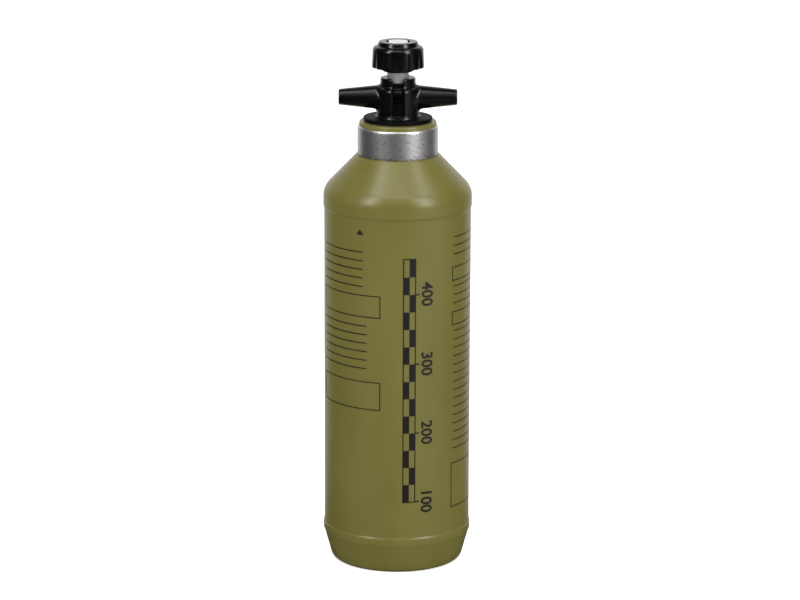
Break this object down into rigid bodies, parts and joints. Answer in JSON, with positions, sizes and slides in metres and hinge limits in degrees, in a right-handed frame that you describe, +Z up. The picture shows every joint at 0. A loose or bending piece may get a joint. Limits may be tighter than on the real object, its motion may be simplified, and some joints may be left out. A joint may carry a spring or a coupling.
{
  "type": "camping fuel bottle",
  "caption": "Blow-moulded fuel bottle with a screw-in valve: a fluted knob locks a sprung stem that is pressed to pour through a side arm, with an air inlet arm opposite.",
  "frame": {"origin": "middle of the face the bottle stands on", "axes": "+Z up along the bottle's axis; the valve's two arms lie along X; its front groove faces -Y"},
  "size_m": [0.0668, 0.0668, 0.2385],
  "materials": {
    "bottle_plastic": "olive blow-moulded polyethylene, semi-gloss",
    "collar_metal": "drawn band, dull and lightly marked",
    "seal_rubber": "fuel-proof rubber",
    "valve_plastic": "black moulding, smooth",
    "knob_plastic": "black moulding, smooth",
    "spring_steel": "stainless wire and sheet",
    "stem_acetal": "grey acetal",
    "cap_acetal": "light grey acetal",
    "head_acetal": "dark acetal"
  },
  "bodies": {
    "bottle": {"bottle_body": "bottle_plastic", "neck_collar": "collar_metal"},
    "gasket": {"flange_gasket": "seal_rubber"},
    "valve": {"valve_body": "valve_plastic", "guide_seal": "seal_rubber", "spring_washer": "spring_steel", "return_spring": "spring_steel"},
    "stem": {"valve_stem": "stem_acetal", "guide_sleeve": "valve_plastic", "stem_cap": "cap_acetal", "head_seal": "seal_rubber", "valve_head": "head_acetal", "head_screw": "spring_steel"},
    "ring": {"thrust_ring": "valve_plastic"},
    "grip": {"knob": "knob_plastic"}
  },
  "joints": [
    {"name": "valve_rise", "type": "slide", "parent": "bottle", "child": "gasket", "axis": [0, 0, 1], "range_m": [0, 0.016]},
    {"name": "valve_turn", "type": "hinge", "parent": "gasket", "child": "valve", "pos_m": [0, 0, 0.20311], "axis": [0, 0, 1], "range_deg": [0, 1440]},
    {"name": "stem_press", "type": "slide", "parent": "valve", "child": "stem", "axis": [0, 0, -1], "range_m": [0, 0.0015], "stiffness_N_per_m": 1500, "springref_m": -0.005, "deforming": ["return_spring"]},
    {"name": "knob_travel", "type": "slide", "parent": "stem", "child": "ring", "axis": [0, 0, -1], "range_m": [0, 0.0012]},
    {"name": "knob_turn", "type": "hinge", "parent": "ring", "child": "grip", "pos_m": [0, 0, 0.22691], "axis": [0, 0, -1], "range_deg": [0, 135]}
  ],
  "couplings": [
    {"joint": "valve_rise", "follows": "valve_turn", "m_per_rad": 0.00063661},
    {"joint": "knob_travel", "follows": "knob_turn", "m_per_rad": 0.00050929}
  ]
}
